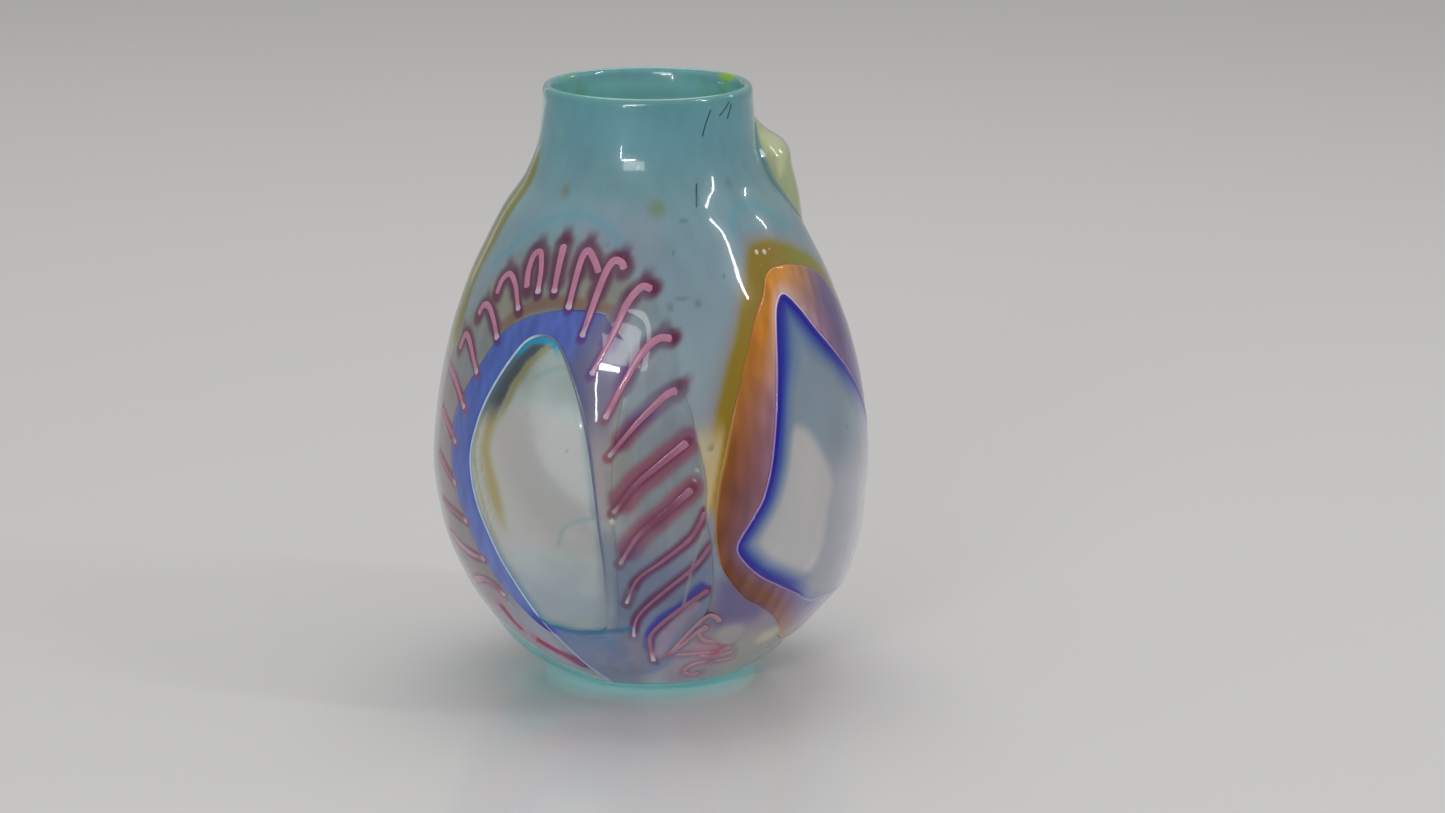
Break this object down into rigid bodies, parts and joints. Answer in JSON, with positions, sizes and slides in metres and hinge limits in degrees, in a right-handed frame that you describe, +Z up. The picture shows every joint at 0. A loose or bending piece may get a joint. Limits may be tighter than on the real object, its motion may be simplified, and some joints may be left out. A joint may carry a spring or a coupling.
{
  "type": "blown art glass vase",
  "caption": "Hand blown bottle-shaped glass vase: clear bubble, milky blue overlay, arched window, petal with cobalt line, drawn pink threads, rounded lip, flat foot.",
  "frame": {"origin": "centre of the ground flat foot, on the surface the vase stands on", "axes": "+Z up along the vase's axis, -Y towards the front with the arched window, +X to the front's right, on the petal's side"},
  "size_m": [0.1622, 0.1633, 0.22],
  "materials": {
    "clear_glass": "clear, fire-polished, with a few seeds and soft grey cloud",
    "blue_glass": "milky blue-grey overlay, translucent, glossy",
    "aqua_glass": "aqua-tinted clear, fire-polished",
    "pale_blue_glass": "pale blue drawn thread, glossy",
    "cobalt_glass": "cobalt blue, streaked along the pull, glossy",
    "smoky_glass": "smoky grey with olive and magenta haze, translucent, glossy",
    "pink_glass": "dusty pink cane with a magenta edge, glossy",
    "lilac_glass": "pale lilac drawn thread, glossy",
    "orange_glass": "amber-orange shading to mauve, glossy",
    "olive_glass": "olive-amber, translucent, glossy"
  },
  "bodies": {
    "root": {"back_cobalt_line": "cobalt_glass", "back_petal_band": "orange_glass", "back_window_lens": "clear_glass", "base_curl_1": "pink_glass", "base_curl_2": "pink_glass", "base_curl_3": "pink_glass", "base_curl_4": "pink_glass", "blue_overlay": "blue_glass", "clear_bubble": "clear_glass", "clear_prunt_1": "clear_glass", "clear_prunt_2": "clear_glass", "foot_pad": "aqua_glass", "left_cane_ribbon": "smoky_glass", "left_cobalt_band": "cobalt_glass", "left_window_lens": "clear_glass", "left_window_thread": "pale_blue_glass", "lip_wrap": "aqua_glass", "olive_prunt": "olive_glass", "pink_thread_01": "pink_glass", "pink_thread_02": "pink_glass", "pink_thread_03": "pink_glass", "pink_thread_04": "pink_glass", "pink_thread_05": "pink_glass", "pink_thread_06": "pink_glass", "pink_thread_07": "pink_glass", "pink_thread_08": "pink_glass", "pink_thread_09": "pink_glass", "pink_thread_10": "pink_glass", "pink_thread_11": "pink_glass", "pink_thread_12": "pink_glass", "pink_thread_13": "pink_glass", "pink_thread_14": "pink_glass", "pink_thread_15": "pink_glass", "pink_thread_16": "pink_glass", "pink_thread_17": "pink_glass", "pink_thread_18": "pink_glass", "pink_thread_19": "pink_glass", "pink_thread_20": "pink_glass", "pink_thread_21": "pink_glass", "pink_thread_22": "pink_glass", "pink_thread_23": "pink_glass", "right_cobalt_line": "cobalt_glass", "right_lilac_thread": "lilac_glass", "right_olive_halo": "olive_glass", "right_petal_band": "orange_glass", "right_window_lens": "clear_glass"}
  },
  "joints": []
}
